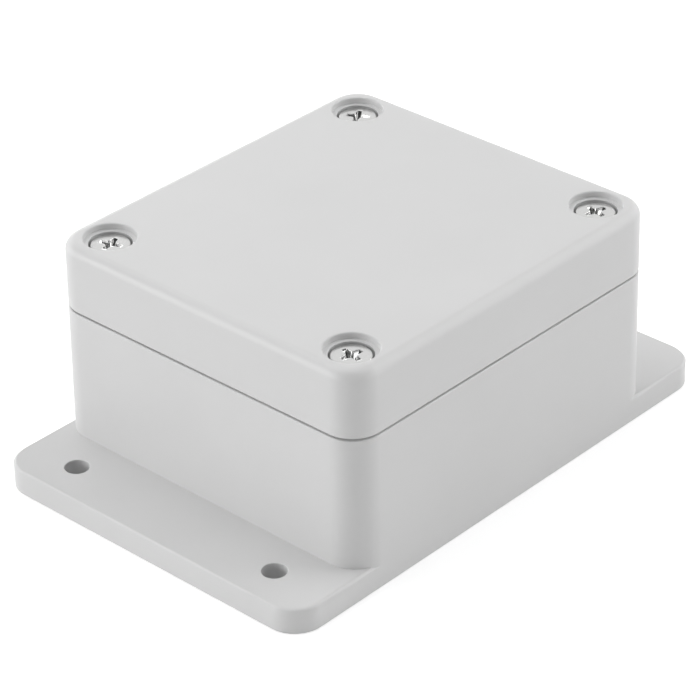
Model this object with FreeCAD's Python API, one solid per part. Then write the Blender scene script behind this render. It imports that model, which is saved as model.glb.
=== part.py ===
import FreeCAD, Part
import math
import os

# A small plastic project box with a mounting flange at each end.
# An open base and a deep lid meet in a tongue and groove, which runs inside the four
# corner screws and squeezes a soft gasket. The screws bite in brass inserts.
# All sizes are in millimetres. X runs from flange to flange, Z is up, and the origin
# is the middle of the underside.

# The box on the outside
BOX_LENGTH = 64.0           # along X, at the foot
BOX_WIDTH = 58.0            # along Y, at the foot
BOX_HEIGHT = 35.0           # foot to the top of the lid
BOX_CORNER_R = 5.0          # upright corners, at the foot
DRAFT_DEG = 0.6             # the walls lean in towards the top
BASE_HEIGHT = 24.4          # foot to the base's rim
SEAM_GAP = 0.3              # height of the shadow line, a rebate round the lid's foot
SEAM_DEPTH = 0.6            # of the rebate, from the outer face
LID_EDGE_R = 1.6            # all round the top of the lid

# The flanges, which are flush with the long sides of the box
FLANGE_REACH = 12.0         # beyond each end of the box, at the foot
FLANGE_THICKNESS = 4.0
FLANGE_CORNER_R = 4.7
FLANGE_BREAK = 0.45         # broken upper edge
FLANGE_HOLE_D = 3.6
FLANGE_HOLE_FROM_END = 6.0
FLANGE_HOLE_FROM_SIDE = 9.7

# The shells on the inside
WALL = 2.5                  # at the rim
FLOOR = 2.5
LID_ROOF = 2.5
PILLAR_R = 4.6              # screw pillars in the corners
PILLAR_BLEND_R = 2.6        # where a pillar runs out into a wall

# The seal between base and lid
TONGUE_WIDTH = 1.0          # rib on the rim, flush with the inner face of the wall
TONGUE_HEIGHT = 1.5
TONGUE_CLEARANCE = 0.25     # between the tongue and each side of the groove
LID_RIB = 1.0               # inner wall of the groove
GASKET_HEIGHT = 1.4
GASKET_CLEARANCE = 0.05     # to each side of the groove, and to the tongue

# Posts on the floor that carry a circuit board
POST_D = 5.0
POST_HEIGHT = 4.0
POST_INSET = 12.0           # from the outer faces of the box to the post's axis
POST_PILOT_D = 2.2
POST_PILOT_DEPTH = 5.0

# Lid screws: pan heads with a cross recess
SCREW_INSET = 6.2           # from the outer faces of the box to the screw's axis
THREAD_D = 3.0
SCREW_BITE = 4.8            # how far the thread reaches into the base, from its rim
HEAD_D = 5.8
HEAD_HEIGHT = 2.3
HEAD_SHOULDER = 0.33        # sloping edge round the top
CROSS_SPAN = 3.4            # across two arms of the recess, at the top
CROSS_ARM_WIDTH = 0.9
CROSS_DEPTH = 1.5
CROSS_FOOT = 0.55           # size at the bottom, as a share of the size at the top

# Recesses in the lid for the screw heads
RECESS_D = 7.7
RECESS_DEPTH = 0.95         # from the lid's top to the ledge
HEAD_BELOW_LEDGE = 0.15
HEAD_CLEARANCE = 0.25       # all round the head
SHANK_CLEARANCE = 0.2       # all round the thread, in the lid

# Threaded brass inserts, moulded into the base's pillars
INSERT_D = 4.2
INSERT_LENGTH = 5.5
INSERT_CLEARANCE = 0.02     # to the pillar
THREAD_CLEARANCE = 0.05     # all round the thread, in the insert
TIP_ROOM = 2.4              # left in the pillar's hole under the insert and the screw's tip

# The four corners, named as seen from above the corner between -X and -Y
CORNERS = {"front": (-1, -1), "left": (-1, 1), "right": (1, -1), "back": (1, 1)}

# How far each screw happened to be turned when it was tight, in degrees
SCREW_TURNS = {"front": 78.0, "left": 16.0, "right": 76.0, "back": 29.0}

UP = FreeCAD.Vector(0, 0, 1)

# Heights worked out from the sizes above
SKIRT_Z = BASE_HEIGHT + SEAM_GAP
TONGUE_TOP_Z = BASE_HEIGHT + TONGUE_HEIGHT
GASKET_Z = TONGUE_TOP_Z + GASKET_CLEARANCE
GROOVE_TOP_Z = GASKET_Z + GASKET_HEIGHT
ROOF_Z = BOX_HEIGHT - LID_ROOF
LEDGE_Z = BOX_HEIGHT - RECESS_DEPTH
HEAD_TOP_Z = LEDGE_Z - HEAD_BELOW_LEDGE
SEAT_Z = HEAD_TOP_Z - HEAD_HEIGHT
SCREW_TIP_Z = BASE_HEIGHT - SCREW_BITE
INSERT_Z = BASE_HEIGHT - INSERT_LENGTH
INSERT_HOLE_Z = min(SCREW_TIP_Z, INSERT_Z) - TIP_ROOM


def lean(height):
    """How far the outer walls have leaned in at a height above the foot."""
    return height * math.tan(math.radians(DRAFT_DEG))


# The inner faces are upright, so their places are taken at the rim
CAVITY_LENGTH = BOX_LENGTH - 2 * (lean(BASE_HEIGHT) + WALL)
CAVITY_WIDTH = BOX_WIDTH - 2 * (lean(BASE_HEIGHT) + WALL)


def corner_place(corner, inset):
    """X and Y of the point that lies inset from both outer faces at a corner."""
    side_x, side_y = CORNERS[corner]
    return side_x * (BOX_LENGTH / 2 - inset), side_y * (BOX_WIDTH / 2 - inset)


def rounded_outline(length, width, radius, height):
    """A level rectangle with rounded corners, centred on the Z axis."""
    centre_x = length / 2 - radius
    centre_y = width / 2 - radius
    centres = [(centre_x, centre_y), (-centre_x, centre_y), (-centre_x, -centre_y), (centre_x, -centre_y)]
    arcs = []
    for quarter, (x, y) in enumerate(centres):
        start = 90 * quarter
        arcs.append(Part.makeCircle(radius, FreeCAD.Vector(x, y, height), UP, start, start + 90))
    edges = []
    for arc, following in zip(arcs, arcs[1:] + arcs[:1]):
        edges.append(arc)
        edges.append(Part.makeLine(arc.Vertexes[-1].Point, following.Vertexes[0].Point))
    return Part.Wire(edges)


def leaning_block(length, width, radius, low, high):
    """A block with rounded corners whose walls lean in. The sizes are those at the foot."""
    outlines = []
    for height in (low, high):
        inward = lean(height)
        outlines.append(rounded_outline(length - 2 * inward, width - 2 * inward, radius - inward, height))
    return Part.makeLoft(outlines, True, True)


def level_edges(shape, height):
    """The edges of a shape that lie in the plane at a height."""
    found = []
    for edge in shape.Edges:
        box = edge.BoundBox
        if abs(box.ZMin - height) < 1e-4 and abs(box.ZMax - height) < 1e-4:
            found.append(edge)
    return found


def rod(place, radius, low, high):
    """An upright round bar at a place in plan."""
    x, y = place
    return Part.makeCylinder(radius, high - low, FreeCAD.Vector(x, y, low))


def quarter_outline(inset, height, side_x, side_y):
    """One corner of the cavity's outline: half a wall, round the screw pillar, and half the next wall."""
    half_length = CAVITY_LENGTH / 2
    half_width = CAVITY_WIDTH / 2
    pillar = (BOX_LENGTH / 2 - SCREW_INSET, BOX_WIDTH / 2 - SCREW_INSET)
    # The pillar runs out into each wall along an arc that touches both
    reach = PILLAR_R + PILLAR_BLEND_R
    off_end = half_length - PILLAR_BLEND_R - pillar[0]
    off_side = half_width - PILLAR_BLEND_R - pillar[1]
    end_blend = (pillar[0] + off_end, pillar[1] - math.sqrt(reach ** 2 - off_end ** 2))
    side_blend = (pillar[0] - math.sqrt(reach ** 2 - off_side ** 2), pillar[1] + off_side)
    to_pillar_end = math.atan2(pillar[1] - end_blend[1], pillar[0] - end_blend[0])
    to_pillar_side = math.atan2(pillar[1] - side_blend[1], pillar[0] - side_blend[0])

    def point(x, y):
        return FreeCAD.Vector(side_x * x, side_y * y, height)

    def arc(centre, radius, start, stop):
        turns = (start, (start + stop) / 2, stop)
        points = [point(centre[0] + radius * math.cos(t), centre[1] + radius * math.sin(t)) for t in turns]
        return Part.Arc(*points).toShape()

    end_wall = half_length - inset
    side_wall = half_width - inset
    blend_r = PILLAR_BLEND_R - inset
    return [
        Part.makeLine(point(end_wall, 0), point(end_wall, end_blend[1])),
        arc(end_blend, blend_r, 0, to_pillar_end),
        arc(pillar, PILLAR_R + inset, to_pillar_end - math.pi, to_pillar_side - math.pi),
        arc(side_blend, blend_r, to_pillar_side, math.pi / 2),
        Part.makeLine(point(side_blend[0], side_wall), point(0, side_wall)),
    ]


def pocket(inset, low, high):
    """The space between the walls and pillars, drawn in by inset all round."""
    edges = []
    for side_x, side_y in CORNERS.values():
        edges.extend(quarter_outline(inset, low, side_x, side_y))
    outline = Part.Wire(Part.__sortEdges__(edges))
    return Part.Face(outline).extrude(FreeCAD.Vector(0, 0, high - low)).removeSplitter()


def tongue():
    """The rib that stands on the rim and follows the walls and pillars."""
    return pocket(-TONGUE_WIDTH, BASE_HEIGHT, TONGUE_TOP_Z).cut(pocket(0, BASE_HEIGHT, TONGUE_TOP_Z))


def flange_hole_places():
    """X and Y of the four holes in the flanges."""
    x = BOX_LENGTH / 2 + FLANGE_REACH - FLANGE_HOLE_FROM_END
    y = BOX_WIDTH / 2 - FLANGE_HOLE_FROM_SIDE
    return [(side_x * x, side_y * y) for side_x, side_y in CORNERS.values()]


def make_base():
    """The base: open box, flanges, screw pillars, tongue and board posts, moulded in one."""
    body = leaning_block(BOX_LENGTH, BOX_WIDTH, BOX_CORNER_R, 0, BASE_HEIGHT)
    plate = leaning_block(BOX_LENGTH + 2 * FLANGE_REACH, BOX_WIDTH, FLANGE_CORNER_R, 0, FLANGE_THICKNESS)
    plate = plate.makeChamfer(FLANGE_BREAK, level_edges(plate, FLANGE_THICKNESS))
    body = body.fuse(plate)

    body = body.cut(pocket(0, FLOOR, BASE_HEIGHT)).fuse(tongue())

    for place in flange_hole_places():
        body = body.cut(rod(place, FLANGE_HOLE_D / 2, 0, FLANGE_THICKNESS))

    post_top = FLOOR + POST_HEIGHT
    for corner in CORNERS:
        place = corner_place(corner, POST_INSET)
        body = body.fuse(rod(place, POST_D / 2, FLOOR / 2, post_top))
        body = body.cut(rod(place, POST_PILOT_D / 2, post_top - POST_PILOT_DEPTH, post_top))

        place = corner_place(corner, SCREW_INSET)
        insert_hole = rod(place, INSERT_D / 2 + INSERT_CLEARANCE, INSERT_HOLE_Z, BASE_HEIGHT)
        body = body.cut(insert_hole)
    return body.removeSplitter()


def make_lid():
    """The lid: deep cover with the seal groove, and a stepped and bored pillar in each corner."""
    body = leaning_block(BOX_LENGTH, BOX_WIDTH, BOX_CORNER_R, SKIRT_Z, BOX_HEIGHT)
    body = body.makeFillet(LID_EDGE_R, level_edges(body, BOX_HEIGHT))
    foot_length = BOX_LENGTH - 2 * SEAM_DEPTH
    foot_width = BOX_WIDTH - 2 * SEAM_DEPTH
    body = body.fuse(leaning_block(foot_length, foot_width, BOX_CORNER_R - SEAM_DEPTH, BASE_HEIGHT, SKIRT_Z))

    hollow = pocket(TONGUE_CLEARANCE + LID_RIB, BASE_HEIGHT, ROOF_Z)
    groove = pocket(-TONGUE_WIDTH - TONGUE_CLEARANCE, BASE_HEIGHT, GROOVE_TOP_Z)
    groove = groove.cut(pocket(TONGUE_CLEARANCE, BASE_HEIGHT, GROOVE_TOP_Z))
    body = body.cut(hollow).cut(groove)

    for corner in CORNERS:
        place = corner_place(corner, SCREW_INSET)
        recess = rod(place, RECESS_D / 2, LEDGE_Z, BOX_HEIGHT)
        head_room = rod(place, HEAD_D / 2 + HEAD_CLEARANCE, SEAT_Z, LEDGE_Z)
        shank_room = rod(place, THREAD_D / 2 + SHANK_CLEARANCE, BASE_HEIGHT, SEAT_Z)
        body = body.cut(recess).cut(head_room).cut(shank_room)
    return body.removeSplitter()


def make_gasket():
    """The soft loop that fills the top of the lid's groove."""
    outer = pocket(GASKET_CLEARANCE - TONGUE_WIDTH - TONGUE_CLEARANCE, GASKET_Z, GROOVE_TOP_Z)
    inner = pocket(TONGUE_CLEARANCE - GASKET_CLEARANCE, GASKET_Z, GROOVE_TOP_Z)
    return outer.cut(inner)


def make_insert(corner):
    """A brass bush, flush with the pillar's top, with a plain bore in place of its thread."""
    place = corner_place(corner, SCREW_INSET)
    bush = rod(place, INSERT_D / 2, INSERT_Z, BASE_HEIGHT)
    return bush.cut(rod(place, THREAD_D / 2 + THREAD_CLEARANCE, INSERT_Z, BASE_HEIGHT))


def cross_arm(turn):
    """One bar of the cross recess, about the Z axis and under the height 0, narrower at its foot."""
    x = CROSS_SPAN / 2
    y = CROSS_ARM_WIDTH / 2
    foot_x = x * CROSS_FOOT
    foot_y = y * CROSS_FOOT
    arm = Part.makeWedge(-foot_x, 0, -foot_y, -y, -x, foot_x, CROSS_DEPTH, foot_y, y, x)
    arm.rotate(FreeCAD.Vector(0, 0, 0), FreeCAD.Vector(1, 0, 0), 90)
    arm.translate(FreeCAD.Vector(0, 0, -CROSS_DEPTH))
    arm.rotate(FreeCAD.Vector(0, 0, 0), UP, turn)
    return arm


def make_screw(corner):
    """A pan-head screw in its seat, with its thread as a plain shank at the thread's full size."""
    end = SCREW_TIP_Z - HEAD_TOP_Z
    half_outline = [
        (0, end),
        (THREAD_D / 2, end),
        (THREAD_D / 2, -HEAD_HEIGHT),
        (HEAD_D / 2, -HEAD_HEIGHT),
        (HEAD_D / 2, -HEAD_SHOULDER),
        (HEAD_D / 2 - HEAD_SHOULDER, 0),
        (0, 0),
        (0, end),
    ]
    half = Part.Face(Part.makePolygon([FreeCAD.Vector(radius, 0, height) for radius, height in half_outline]))
    screw = half.revolve(FreeCAD.Vector(0, 0, 0), UP, 360)
    for turn in (0, 90):
        screw = screw.cut(cross_arm(SCREW_TURNS[corner] + turn))
    x, y = corner_place(corner, SCREW_INSET)
    screw.translate(FreeCAD.Vector(x, y, HEAD_TOP_Z))
    return screw


def make_parts():
    """Every piece of the box by its name."""
    parts = {"base": make_base(), "lid": make_lid(), "gasket": make_gasket()}
    for corner in CORNERS:
        parts["insert_" + corner] = make_insert(corner)
        parts["lid_screw_" + corner] = make_screw(corner)
    return parts


os.makedirs("parts", exist_ok=True)
for name, shape in make_parts().items():
    print(name, "valid", shape.isValid(), "solids", len(shape.Solids), "volume", round(shape.Volume, 1))
    shape.exportStep("parts/" + name + ".step")
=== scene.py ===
import math

import bmesh
import bpy
from mathutils import Matrix, Vector


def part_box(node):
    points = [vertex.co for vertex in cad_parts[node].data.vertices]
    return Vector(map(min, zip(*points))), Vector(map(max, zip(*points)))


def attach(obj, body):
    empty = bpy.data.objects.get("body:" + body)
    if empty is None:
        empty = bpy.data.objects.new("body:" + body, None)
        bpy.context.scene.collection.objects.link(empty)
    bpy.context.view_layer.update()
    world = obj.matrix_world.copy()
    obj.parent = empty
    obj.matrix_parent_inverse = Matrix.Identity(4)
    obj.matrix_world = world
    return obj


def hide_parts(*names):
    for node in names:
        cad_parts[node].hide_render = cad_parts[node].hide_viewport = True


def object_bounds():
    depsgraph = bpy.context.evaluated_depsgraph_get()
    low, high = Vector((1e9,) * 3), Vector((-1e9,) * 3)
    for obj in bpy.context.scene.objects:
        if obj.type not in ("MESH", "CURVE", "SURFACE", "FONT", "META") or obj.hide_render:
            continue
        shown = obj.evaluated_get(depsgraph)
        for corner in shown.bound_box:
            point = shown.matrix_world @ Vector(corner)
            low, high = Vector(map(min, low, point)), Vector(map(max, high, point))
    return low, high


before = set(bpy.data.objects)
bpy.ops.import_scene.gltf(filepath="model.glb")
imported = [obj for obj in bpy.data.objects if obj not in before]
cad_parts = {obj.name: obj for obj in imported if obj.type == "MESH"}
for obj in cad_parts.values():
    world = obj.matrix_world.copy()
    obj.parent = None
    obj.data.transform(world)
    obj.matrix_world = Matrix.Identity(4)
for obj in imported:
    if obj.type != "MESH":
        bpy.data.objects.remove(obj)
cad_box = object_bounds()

# A small light-grey plastic box with a flange at each end and four plated lid screws.
# Sizes are in metres, and a length written in millimetres is multiplied by MM.
MM = 0.001

# The camera, as fitted to the edges of the box in the photograph
CAMERA_AZIMUTH = -47.23         # degrees, from the -Y side
CAMERA_ELEVATION = 31.38
CAMERA_ROLL = -0.98
CAMERA_DISTANCE = 447.5 * MM
CAMERA_LENS = 160.05            # millimetres
SENSOR_WIDTH = 36.0             # millimetres
NEAREST_SEEN = 0.01
FARTHEST_SEEN = 50.0
AIM_RIGHT = -0.89 * MM          # from the middle of the box, along the picture
AIM_UP = -3.34 * MM

# The meshes of the moulded pieces, before their edges are softened
SAME_POINT = 0.002 * MM         # points closer than this become one
SAME_FACE = 0.3                 # degrees, faces that meet at less than this become one

# Soft edges of the moulded pieces: what the radius is, by where the edge lies
EDGE_LIMIT = 25.0               # degrees between two faces, above which an edge is softened
SMOOTH_LIMIT = 50.0             # degrees, up to which an outward edge with no radius is only shaded round
EDGE_SEGMENTS = 3
WIDEST_EDGE = 0.4 * MM          # the radius at full weight
PLAIN_EDGE = 0.12 * MM
SEAM_EDGE = 0.22 * MM
RECESS_EDGE = 0.22 * MM
LEDGE_EDGE = 0.05 * MM          # of the ledge round a screw's head
INNER_FLOOR_EDGE = 0.3 * MM
GASKET_EDGE = 0.3 * MM

# Where those edges lie
PLACE_TOLERANCE = 0.01 * MM
INNER_FLOOR_Z = 2.5 * MM
FLANGE_TOP_Z = 4.0 * MM
FLANGE_BREAK_ZONE = 0.6 * MM    # below the flange's top, with its broken upper edge
HOLE_ZONE_X = (33 * MM, 43 * MM)        # from the middle of the box, with the flange holes
HOLE_ZONE_Y = (10 * MM, 25 * MM)
LEDGE_ZONE = 1.2 * MM           # below the lid's top, with the ledges
SKIRT_ZONE = (0.1 * MM, 0.5 * MM)       # above the base's rim, with the foot of the lid's skirt

# The lid screws, in millimetres, since their meshes are drawn so and then made smaller
ROUND_STEPS = 40                # points round a screw or an insert
THREAD_PITCH = 0.5
THREAD_DEPTH = 0.29
THREAD_STEPS = 8                # rings to a turn of thread
THREAD_CREST = 0.12             # shares of half a pitch: the flat crest and the flank
THREAD_FLANK = 0.76
SHANK_RADIUS = 1.5
TIP_INSET = 0.1                 # how much narrower than the thread's root the tip is
NECK = 0.5                      # plain stretch under the head
NECK_SLOPE = 0.8                # of the thread's run-out to the neck
NECK_FLARE = 0.15               # height and width of the slope under the head
HEAD_HEIGHT = 2.3
HEAD_CROWN = 0.03               # rise of the middle of the head above its shoulder
CROWN_RINGS = 5
HEAD_SHOULDER = 0.22            # height and width of the rounded shoulder
SHOULDER_STEPS = 6
SEAT_BREAK = 0.1                # height and width of the broken lower edge of the head
# How far each screw is turned, in degrees, by its corner
SCREW_TURNS = {"front": 78.0, "left": 16.0, "right": 76.0, "back": 29.0}

# The cross recess in each screw's head, in millimetres
CROSS_REACH = 1.7
CROSS_HALF_WIDTH = 0.45
CROSS_END = 0.8                 # width of an arm at its end, as a share of its width
CROSS_FILLET = 0.35
FILLET_STEPS = 5
CROSS_DEPTH = 1.35
CROSS_FOOT = 0.47               # size at the bottom, as a share of the size at the top
CROSS_POINT = 0.25              # depth of the blunt point below the bottom
CROSS_RISE = 0.4                # how far the cutting tool stands out of the head
CROSS_RIM = 0.07                # rounding of the rim
RIM_SEGMENTS = 2

# The brass inserts, in millimetres
INSERT_BORE_RADIUS = 1.55
INSERT_THREAD_DEPTH = 0.22
INSERT_MOUTH = 0.2              # height and width of the slope at each end of the bore
INSERT_BREAK_WIDTH = 0.08       # of the broken upper edge
INSERT_BREAK_HEIGHT = 0.1

# How strongly the large faces lead the shading along their edges, where 50 favours none
MOULDED_WEIGHT = 100
TURNED_WEIGHT = 50

# The clouds and the grain that each material of the box has
CLOUD_SCALE = 55.0
CLOUD_DETAIL = 3.0
CLOUD_ROUGHNESS = 0.55
CLOUD_RANGE = (0.3, 0.7)        # of the noise, over which the colour and the gloss change
GRAIN_DETAIL = 2.0
GRAIN_ROUGHNESS = 0.6

# The studio
FLOOR_HALF = 4.0
FLOOR_DROP = 0.02 * MM          # so that the floor and the underside don't share a plane
FLOOR_GLOW = 0.45               # for the camera and for mirrors, so that the lit floor is white
FLOOR_COLOUR = 0.8
FAR_FLOOR = (0.4, 1.2)          # metres from the box between which the floor's glow rises to white
BACKDROP_RADIUS = 3.9
BACKDROP_HEIGHT = 1.3
BACKDROP_STEPS = 96
WORLD_LEVEL = 0.05
LIGHT_DISTANCE = 1.2
# Each soft light: turn from the camera and height in degrees, width and height in metres, and watts
LIGHTS = {
    "left_light": (-84, 12, 1.0, 0.6, 6.4),
    "left_front_light": (-40, 12, 0.8, 0.6, 3.2),
    "left_back_light": (-155, 12, 0.9, 0.6, 2.2),
    "left_high_light": (-108, 62, 0.9, 0.6, 4.8),
    "right_light": (80, 12, 0.8, 0.6, 5.0),
    "right_upper_light": (111, 35, 1.0, 0.6, 6.0),
    "back_light": (180, 32, 1.4, 0.6, 2.4),
    "top_light": (0, 90, 0.8, 0.8, 3.2),
}

# Heights and places taken from the frame
lid_low, lid_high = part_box("lid")
RIM_Z = lid_low.z
LID_TOP_Z = lid_high.z
BOX_MIDDLE = (Vector(cad_box[0]) + Vector(cad_box[1])) / 2


def new_object(name, data):
    """An object in the scene for a mesh, a light or a camera."""
    made = bpy.data.objects.new(name, data)
    bpy.context.scene.collection.objects.link(made)
    return made


def object_from(mesh, name):
    """A linked object made from a bmesh, which is then freed."""
    data = bpy.data.meshes.new(name)
    mesh.to_mesh(data)
    mesh.free()
    return new_object(name, data)


def node_tree(name):
    """A new material with no nodes, and two helpers to add and join nodes."""
    material = bpy.data.materials.new(name)
    material.use_nodes = True
    nodes = material.node_tree.nodes
    nodes.clear()
    links = material.node_tree.links

    def add(kind, **settings):
        node = nodes.new(kind)
        for key, value in settings.items():
            setattr(node, key, value)
        return node

    return material, add, links.new


def set_inputs(node, values):
    """Sets a node's sockets by their names."""
    for key, value in values.items():
        node.inputs[key].default_value = value


def add_clouds(add, join, place, shader, dark, light, roughness):
    """Gives a shader a cloudy colour between two others, and an uneven gloss that goes with it."""
    clouds = add("ShaderNodeTexNoise")
    set_inputs(clouds, {"Scale": CLOUD_SCALE, "Detail": CLOUD_DETAIL, "Roughness": CLOUD_ROUGHNESS})
    join(place.outputs["Object"], clouds.inputs["Vector"])
    colours = add("ShaderNodeValToRGB")
    for stop, position, colour in zip(colours.color_ramp.elements, CLOUD_RANGE, (dark, light)):
        stop.position = position
        stop.color = (*colour, 1.0)
    join(clouds.outputs["Fac"], colours.inputs["Fac"])
    join(colours.outputs["Color"], shader.inputs["Base Color"])
    gloss = add("ShaderNodeMapRange")
    set_inputs(gloss, {"From Min": CLOUD_RANGE[0], "From Max": CLOUD_RANGE[1]})
    set_inputs(gloss, {"To Min": roughness[0], "To Max": roughness[1]})
    join(clouds.outputs["Fac"], gloss.inputs["Value"])
    join(gloss.outputs["Result"], shader.inputs["Roughness"])


def add_grain(add, join, place, shader, scale, height):
    """Gives a shader a fine bumpy grain."""
    grain = add("ShaderNodeTexNoise")
    set_inputs(grain, {"Scale": scale, "Detail": GRAIN_DETAIL, "Roughness": GRAIN_ROUGHNESS})
    join(place.outputs["Object"], grain.inputs["Vector"])
    bump = add("ShaderNodeBump")
    set_inputs(bump, {"Strength": 1.0, "Distance": height})
    join(grain.outputs["Fac"], bump.inputs["Height"])
    join(bump.outputs["Normal"], shader.inputs["Normal"])


def grained(name, dark, light, roughness, grain_scale, grain_height, shader_values):
    """A material with a cloudy colour, an uneven gloss and a fine grain."""
    material, add, join = node_tree(name)
    output = add("ShaderNodeOutputMaterial")
    shader = add("ShaderNodeBsdfPrincipled")
    set_inputs(shader, shader_values)
    place = add("ShaderNodeTexCoord")
    add_clouds(add, join, place, shader, dark, light, roughness)
    add_grain(add, join, place, shader, grain_scale, grain_height)
    join(shader.outputs["BSDF"], output.inputs["Surface"])
    return material


def plastic_material():
    """Smooth light-grey moulded plastic with a satin face."""
    return grained(
        "satin_grey_plastic",
        dark=(0.655, 0.655, 0.655),
        light=(0.675, 0.675, 0.675),
        roughness=(0.4, 0.46),
        grain_scale=9000.0,
        grain_height=0.0012 * MM,
        shader_values={"IOR": 1.47},
    )


def rubber_material():
    """Dull black rubber."""
    return grained(
        "seal_rubber",
        dark=(0.018, 0.018, 0.019),
        light=(0.03, 0.03, 0.031),
        roughness=(0.55, 0.7),
        grain_scale=6000.0,
        grain_height=0.004 * MM,
        shader_values={"IOR": 1.5},
    )


def brass_material():
    """Turned brass with a little tarnish."""
    return grained(
        "insert_brass",
        dark=(0.62, 0.43, 0.17),
        light=(0.72, 0.52, 0.22),
        roughness=(0.24, 0.36),
        grain_scale=7000.0,
        grain_height=0.002 * MM,
        shader_values={"Metallic": 1.0},
    )


def plated_material():
    """Bright plated steel."""
    return grained(
        "bright_plated_steel",
        dark=(0.66, 0.66, 0.655),
        light=(0.72, 0.72, 0.715),
        roughness=(0.13, 0.2),
        grain_scale=5000.0,
        grain_height=0.002 * MM,
        shader_values={"Metallic": 1.0},
    )


def bends_more(edge, limit):
    """True where the two faces of an edge meet at more than a limit in degrees."""
    return len(edge.link_faces) == 2 and edge.calc_face_angle(0.0) > math.radians(limit)


def middle_of(edge):
    """The point halfway along an edge."""
    return (edge.verts[0].co + edge.verts[1].co) / 2


def shade_round(piece):
    """Shades every face of a piece smoothly into the next."""
    for face in piece.data.polygons:
        face.use_smooth = True


def keep_faces_flat(piece, weight, keep_sharp):
    """Shades a piece so that its large faces look flat up to their edges."""
    normals = piece.modifiers.new("flat_faces", "WEIGHTED_NORMAL")
    normals.mode = "FACE_AREA"
    normals.weight = weight
    normals.keep_sharp = keep_sharp


def weigh_edges(mesh, radius_at):
    """Weights the sharp edges of a mesh, each by the radius that its middle point asks for."""
    weights = mesh.edges.layers.float.new("bevel_weight_edge")
    for edge in mesh.edges:
        if bends_more(edge, EDGE_LIMIT):
            radius = radius_at(middle_of(edge))
            edge[weights] = radius / WIDEST_EDGE
            if radius == 0 and (bends_more(edge, SMOOTH_LIMIT) or not edge.is_convex):
                edge.smooth = False


def soften(piece):
    """Rounds the weighted edges of a moulded piece."""
    bevel = piece.modifiers.new("soft_edges", "BEVEL")
    bevel.limit_method = "WEIGHT"
    bevel.offset_type = "OFFSET"
    bevel.width = WIDEST_EDGE
    bevel.segments = EDGE_SEGMENTS
    bevel.use_clamp_overlap = False
    bevel.miter_outer = "MITER_ARC"


def moulded(node, body, material, radius_at):
    """A piece that follows a solid of the frame, with joined flat faces and soft edges."""
    mesh = bmesh.new()
    mesh.from_mesh(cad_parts[node].data)
    bmesh.ops.remove_doubles(mesh, verts=mesh.verts, dist=SAME_POINT)
    bmesh.ops.dissolve_limit(mesh, angle_limit=math.radians(SAME_FACE), verts=mesh.verts, edges=mesh.edges)
    weigh_edges(mesh, radius_at)
    piece = object_from(mesh, node + "_piece")
    shade_round(piece)
    soften(piece)
    keep_faces_flat(piece, MOULDED_WEIGHT, True)
    piece.data.materials.append(material)
    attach(piece, body)
    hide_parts(node)


def near(value, target):
    """True when two places are the same but for the tolerance."""
    return abs(value - target) < PLACE_TOLERANCE


def between(value, limits):
    """True when a value lies inside two limits."""
    return limits[0] < value < limits[1]


def base_radius(point):
    """Edge radii of the base, with none for the broken edge and the walls' foot on the flanges."""
    if near(point.z, RIM_Z):
        return SEAM_EDGE
    on_hole = between(abs(point.x), HOLE_ZONE_X) and between(abs(point.y), HOLE_ZONE_Y)
    if FLANGE_TOP_Z - FLANGE_BREAK_ZONE < point.z < FLANGE_TOP_Z + PLACE_TOLERANCE and not on_hole:
        return 0
    if near(point.z, INNER_FLOOR_Z):
        return INNER_FLOOR_EDGE
    return PLAIN_EDGE


def lid_radius(point):
    """Edge radii of the lid."""
    if near(point.z, LID_TOP_Z):
        return RECESS_EDGE
    if point.z > LID_TOP_Z - LEDGE_ZONE:
        return LEDGE_EDGE
    if RIM_Z + SKIRT_ZONE[0] < point.z < RIM_Z + SKIRT_ZONE[1]:
        return SEAM_EDGE
    return PLAIN_EDGE


def gasket_radius(point):
    """The one edge radius of the gasket."""
    return GASKET_EDGE


def ring_points(radius, height, count=ROUND_STEPS):
    """Points on a level ring, where the radius may be a function of the turn."""
    points = []
    for step in range(count):
        turn = math.tau * step / count
        r = radius(turn) if callable(radius) else radius
        points.append(Vector((r * math.cos(turn), r * math.sin(turn), height)))
    return points


def join_rings(mesh, lower, upper):
    """Quads between two rings of as many points."""
    for i in range(len(lower)):
        j = (i + 1) % len(lower)
        mesh.faces.new((lower[i], lower[j], upper[j], upper[i]))


def add_rings(mesh, rings):
    """Adds rings of points, each joined to the next by quads."""
    rows = [[mesh.verts.new(point) for point in ring] for ring in rings]
    for lower, upper in zip(rows, rows[1:]):
        join_rings(mesh, lower, upper)
    return rows


def close_ring(mesh, row, height):
    """Closes a ring with triangles to a point on the Z axis."""
    middle = mesh.verts.new((0, 0, height))
    for i in range(len(row)):
        mesh.faces.new((row[i], row[(i + 1) % len(row)], middle))


def thread_radius(crest, depth, inward):
    """The radius of a thread by turn and height: a V with flats that climbs one pitch a turn."""

    def radius(turn, height):
        share = (height / THREAD_PITCH - turn / math.tau) % 1.0
        wave = abs(2 * share - 1)
        cut = min(1.0, max(0.0, (wave - THREAD_CREST) / THREAD_FLANK))
        return crest - inward * depth * cut

    return radius


def thread_rows(stretch):
    """How many rows of quads a threaded stretch has."""
    return int(round(stretch / THREAD_PITCH * THREAD_STEPS))


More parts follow.
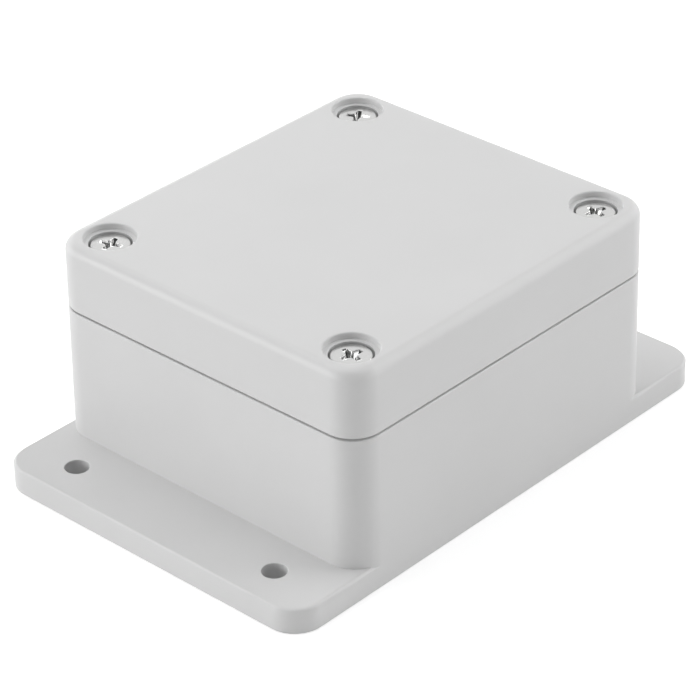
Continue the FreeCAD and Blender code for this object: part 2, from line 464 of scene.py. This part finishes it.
def head_rings(head_r):
    """Rings of the pan head, from its seat to its crown, with its top at height 0."""
    rings = [ring_points(head_r - SEAT_BREAK, -HEAD_HEIGHT), ring_points(head_r, -HEAD_HEIGHT + SEAT_BREAK)]
    centre_r = head_r - HEAD_SHOULDER
    centre_z = -HEAD_CROWN - HEAD_SHOULDER
    for step in range(SHOULDER_STEPS + 1):
        turn = math.radians(90 * step / SHOULDER_STEPS)
        r = centre_r + HEAD_SHOULDER * math.cos(turn)
        rings.append(ring_points(r, centre_z + HEAD_SHOULDER * math.sin(turn)))
    for step in range(1, CROWN_RINGS):
        r = centre_r * (1 - step / CROWN_RINGS)
        rings.append(ring_points(r, -HEAD_CROWN * (r / centre_r) ** 2))
    return rings


def shank_rings(length):
    """Rings of the shank, from its tip along the thread and the neck to the head's seat."""
    tip = -HEAD_HEIGHT - length
    root = SHANK_RADIUS - THREAD_DEPTH
    tip_radius = root - TIP_INSET
    thread = thread_radius(SHANK_RADIUS, THREAD_DEPTH, 1.0)
    rows = thread_rows(length - NECK)
    rings = []
    for row in range(rows + 1):
        height = tip + (length - NECK) * row / rows
        tip_limit = tip_radius + (height - tip)
        neck_limit = root + (tip + length - NECK - height) * NECK_SLOPE
        limit = max(min(tip_limit, neck_limit), tip_radius)
        rings.append(ring_points(lambda turn: min(thread(turn, height), limit), height))
    rings.append(ring_points(root, -HEAD_HEIGHT - NECK_FLARE))
    rings.append(ring_points(root + NECK_FLARE, -HEAD_HEIGHT))
    return rings


def screw_mesh(length, head_r):
    """A pan-head screw about the Z axis with its top at height 0, in millimetres."""
    mesh = bmesh.new()
    rows = add_rings(mesh, shank_rings(length) + head_rings(head_r))
    close_ring(mesh, rows[-1], 0)
    close_ring(mesh, list(reversed(rows[0])), -HEAD_HEIGHT - length)
    bmesh.ops.recalc_face_normals(mesh, faces=mesh.faces)
    return mesh


def cross_outline(scale):
    """The outline of the cross recess: four arms with filleted corners between them."""
    half = CROSS_HALF_WIDTH
    end = half * CROSS_END
    corner = Vector((half + CROSS_FILLET, half + CROSS_FILLET))
    points = []
    for quarter in range(4):
        turn = Matrix.Rotation(math.radians(90 * quarter), 2)
        stretch = [Vector((CROSS_REACH, -end)), Vector((CROSS_REACH, end))]
        for step in range(FILLET_STEPS + 1):
            angle = math.radians(270 - 90 * step / FILLET_STEPS)
            stretch.append(corner + CROSS_FILLET * Vector((math.cos(angle), math.sin(angle))))
        points.extend(turn @ point for point in stretch)
    return [(scale * point.x, scale * point.y) for point in points]


def cross_mesh():
    """The tool that cuts the cross recess, in millimetres, with its foot at a blunt point."""
    mesh = bmesh.new()
    slope = (1 - CROSS_FOOT) / CROSS_DEPTH
    rings = []
    for height in (-CROSS_DEPTH, CROSS_RISE):
        scale = 1 + slope * height
        rings.append([Vector((x, y, height)) for x, y in cross_outline(scale)])
    rows = add_rings(mesh, rings)
    close_ring(mesh, list(reversed(rows[0])), -CROSS_DEPTH - CROSS_POINT)
    close_ring(mesh, rows[-1], CROSS_RISE)
    bmesh.ops.recalc_face_normals(mesh, faces=mesh.faces)
    return mesh


def insert_mesh(outer_r, length):
    """A brass insert about the Z axis with its top at height 0 and a threaded bore, in millimetres."""
    mouth_r = INSERT_BORE_RADIUS + INSERT_MOUTH
    rings = [ring_points(outer_r, -length), ring_points(outer_r, -INSERT_BREAK_HEIGHT)]
    rings.append(ring_points(outer_r - INSERT_BREAK_WIDTH, 0))
    rings.append(ring_points(mouth_r, 0))
    thread = thread_radius(INSERT_BORE_RADIUS, INSERT_THREAD_DEPTH, -1.0)
    stretch = length - 2 * INSERT_MOUTH
    rows = thread_rows(stretch)
    for row in range(rows + 1):
        height = -INSERT_MOUTH - stretch * row / rows
        rings.append(ring_points(lambda turn: thread(turn, height), height))
    rings.append(ring_points(mouth_r, -length))
    mesh = bmesh.new()
    made = add_rings(mesh, rings)
    join_rings(mesh, made[-1], made[0])
    bmesh.ops.recalc_face_normals(mesh, faces=mesh.faces)
    return mesh


def apply_modifiers(piece):
    """Fixes the result of an object's modifiers in its mesh."""
    depsgraph = bpy.context.evaluated_depsgraph_get()
    result = bpy.data.meshes.new_from_object(piece.evaluated_get(depsgraph))
    piece.modifiers.clear()
    piece.data = result


def cut_cross(piece):
    """Cuts the cross recess into a screw whose top is at height 0."""
    cutter = object_from(cross_mesh(), "cross_cutter")
    cut = piece.modifiers.new("cross_recess", "BOOLEAN")
    cut.operation = "DIFFERENCE"
    cut.solver = "EXACT"
    cut.object = cutter
    apply_modifiers(piece)
    bpy.data.objects.remove(cutter)


def mark_rim(data):
    """Weights the sharp edges at the very top of a screw, which are the rim of its recess."""
    mesh = bmesh.new()
    mesh.from_mesh(data)
    weights = mesh.edges.layers.float.new("bevel_weight_edge")
    for edge in mesh.edges:
        if middle_of(edge).z > -2 * HEAD_CROWN and bends_more(edge, EDGE_LIMIT):
            edge[weights] = 1.0
    mesh.to_mesh(data)
    mesh.free()


def soften_rim(piece):
    """Rounds the weighted rim of a screw's recess."""
    bevel = piece.modifiers.new("recess_rim", "BEVEL")
    bevel.limit_method = "WEIGHT"
    bevel.width = CROSS_RIM * MM
    bevel.segments = RIM_SEGMENTS


def top_place(low, high):
    """Moves to the middle of the top of a solid's box."""
    return Matrix.Translation(((low.x + high.x) / 2, (low.y + high.y) / 2, high.z))


def lid_screw(corner, material):
    """The screw of one corner, with its thread and its cross recess."""
    node = "lid_screw_" + corner
    low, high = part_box(node)
    head_r = (high.x - low.x) / 2 / MM
    length = (high.z - low.z) / MM - HEAD_HEIGHT
    piece = object_from(screw_mesh(length, head_r), node + "_piece")
    cut_cross(piece)
    mark_rim(piece.data)
    turn = Matrix.Rotation(math.radians(SCREW_TURNS[corner]), 4, "Z")
    piece.data.transform(top_place(low, high) @ turn @ Matrix.Scale(MM, 4))
    shade_round(piece)
    soften_rim(piece)
    keep_faces_flat(piece, TURNED_WEIGHT, False)
    piece.data.materials.clear()
    piece.data.materials.append(material)
    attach(piece, node)
    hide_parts(node)


def threaded_insert(corner, material):
    """The brass insert of one corner, with a thread cut into its bore."""
    node = "insert_" + corner
    low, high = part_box(node)
    outer_r = (high.x - low.x) / 2 / MM
    length = (high.z - low.z) / MM
    piece = object_from(insert_mesh(outer_r, length), node + "_piece")
    piece.data.transform(top_place(low, high) @ Matrix.Scale(MM, 4))
    shade_round(piece)
    keep_faces_flat(piece, TURNED_WEIGHT, False)
    piece.data.materials.append(material)
    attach(piece, "base")
    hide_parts(node)


def make_box():
    """Every visible piece of the box."""
    plastic = plastic_material()
    moulded("base", "base", plastic, base_radius)
    moulded("lid", "lid", plastic, lid_radius)
    moulded("gasket", "lid", rubber_material(), gasket_radius)
    brass = brass_material()
    plated = plated_material()
    for corner in SCREW_TURNS:
        threaded_insert(corner, brass)
        lid_screw(corner, plated)


def shown_rays(add, join):
    """A value that is 1 for rays from the camera and for rays that are mirrored or let through."""
    path = add("ShaderNodeLightPath")
    seen = add("ShaderNodeMath", operation="MAXIMUM")
    seen_too = add("ShaderNodeMath", operation="MAXIMUM")
    join(path.outputs["Is Camera Ray"], seen.inputs[0])
    join(path.outputs["Is Glossy Ray"], seen.inputs[1])
    join(seen.outputs["Value"], seen_too.inputs[0])
    join(path.outputs["Is Transmission Ray"], seen_too.inputs[1])
    return seen_too.outputs["Value"]


def floor_glow(add, join):
    """A glow for shown rays only, which rises to white away from the box."""
    place = add("ShaderNodeTexCoord")
    reach = add("ShaderNodeVectorMath", operation="LENGTH")
    join(place.outputs["Object"], reach.inputs[0])
    rise = add("ShaderNodeMapRange")
    set_inputs(rise, {"From Min": FAR_FLOOR[0], "From Max": FAR_FLOOR[1]})
    set_inputs(rise, {"To Min": FLOOR_GLOW, "To Max": 1.0})
    join(reach.outputs["Value"], rise.inputs["Value"])
    glow = add("ShaderNodeEmission")
    join(rise.outputs["Result"], glow.inputs["Strength"])
    dark = add("ShaderNodeEmission")
    set_inputs(dark, {"Strength": 0.0})
    choice = add("ShaderNodeMixShader")
    join(shown_rays(add, join), choice.inputs["Fac"])
    join(dark.outputs["Emission"], choice.inputs[1])
    join(glow.outputs["Emission"], choice.inputs[2])
    return choice.outputs["Shader"]


def make_floor():
    """A white floor that keeps a soft shadow of the box."""
    mesh = bmesh.new()
    bmesh.ops.create_grid(mesh, x_segments=1, y_segments=1, size=FLOOR_HALF)
    floor = object_from(mesh, "studio_floor")
    floor.location.z = -FLOOR_DROP
    material, add, join = node_tree("studio_white")
    output = add("ShaderNodeOutputMaterial")
    paint = add("ShaderNodeBsdfDiffuse")
    set_inputs(paint, {"Color": (FLOOR_COLOUR, FLOOR_COLOUR, FLOOR_COLOUR, 1.0)})
    both = add("ShaderNodeAddShader")
    join(paint.outputs["BSDF"], both.inputs[0])
    join(floor_glow(add, join), both.inputs[1])
    join(both.outputs["Shader"], output.inputs["Surface"])
    floor.data.materials.append(material)


def make_backdrop():
    """A low wall round the floor: white for shown rays, and as dim as the world for all others."""
    mesh = bmesh.new()
    rings = [ring_points(BACKDROP_RADIUS, height, BACKDROP_STEPS) for height in (0, BACKDROP_HEIGHT)]
    add_rings(mesh, rings)
    backdrop = object_from(mesh, "studio_backdrop")
    material, add, join = node_tree("backdrop_white")
    output = add("ShaderNodeOutputMaterial")
    level = add("ShaderNodeMapRange")
    set_inputs(level, {"To Min": WORLD_LEVEL, "To Max": 1.0})
    join(shown_rays(add, join), level.inputs["Value"])
    glow = add("ShaderNodeEmission")
    join(level.outputs["Result"], glow.inputs["Strength"])
    join(glow.outputs["Emission"], output.inputs["Surface"])
    backdrop.data.materials.append(material)


def make_world():
    """An even, dim surround."""
    world = bpy.data.worlds.new("studio")
    bpy.context.scene.world = world
    world.use_nodes = True
    background = world.node_tree.nodes["Background"]
    set_inputs(background, {"Color": (1.0, 1.0, 1.0, 1.0), "Strength": WORLD_LEVEL})


def direction(azimuth, elevation):
    """Outward from the box, by a turn from the -Y side and a height, both in radians."""
    level = math.cos(elevation)
    return Vector((math.sin(azimuth) * level, -math.cos(azimuth) * level, math.sin(elevation)))


def soft_light(name, turn, elevation, width, height, power):
    """A soft light that faces the box, placed by the direction it shines from."""
    light = bpy.data.lights.new(name, "AREA")
    light.shape = "RECTANGLE"
    light.size = width
    light.size_y = height
    light.energy = power
    lamp = new_object(name, light)
    outward = direction(math.radians(CAMERA_AZIMUTH + turn), math.radians(elevation))
    lamp.location = Vector((0, 0, BOX_MIDDLE.z)) + outward * LIGHT_DISTANCE
    lamp.rotation_euler = outward.to_track_quat("Z", "Y").to_euler()


def make_lights():
    """Soft lights on both sides of the camera and above, with the camera's own side left dimmer."""
    for name, placing in LIGHTS.items():
        soft_light(name, *placing)


def camera_axes():
    """The camera's right, its up and its way back from the box, turned by its roll."""
    azimuth = math.radians(CAMERA_AZIMUTH)
    roll = math.radians(CAMERA_ROLL)
    back = direction(azimuth, math.radians(CAMERA_ELEVATION))
    level_right = Vector((math.cos(azimuth), math.sin(azimuth), 0))
    level_up = back.cross(level_right)
    right = level_right * math.cos(roll) + level_up * math.sin(roll)
    up = level_up * math.cos(roll) - level_right * math.sin(roll)
    return right, up, back


def make_camera():
    """The camera of the photograph."""
    data = bpy.data.cameras.new("camera")
    data.sensor_fit = "HORIZONTAL"
    data.sensor_width = SENSOR_WIDTH
    data.lens = CAMERA_LENS
    data.clip_start = NEAREST_SEEN
    data.clip_end = FARTHEST_SEEN
    camera = new_object("camera", data)
    right, up, back = camera_axes()
    aim = BOX_MIDDLE + right * AIM_RIGHT + up * AIM_UP
    turn = Matrix((right, up, back)).transposed().to_4x4()
    camera.matrix_world = Matrix.Translation(aim + back * CAMERA_DISTANCE) @ turn
    bpy.context.scene.camera = camera


make_camera()
make_box()
make_floor()
make_backdrop()
make_world()
make_lights()
bpy.context.scene.view_settings.view_transform = "Standard"
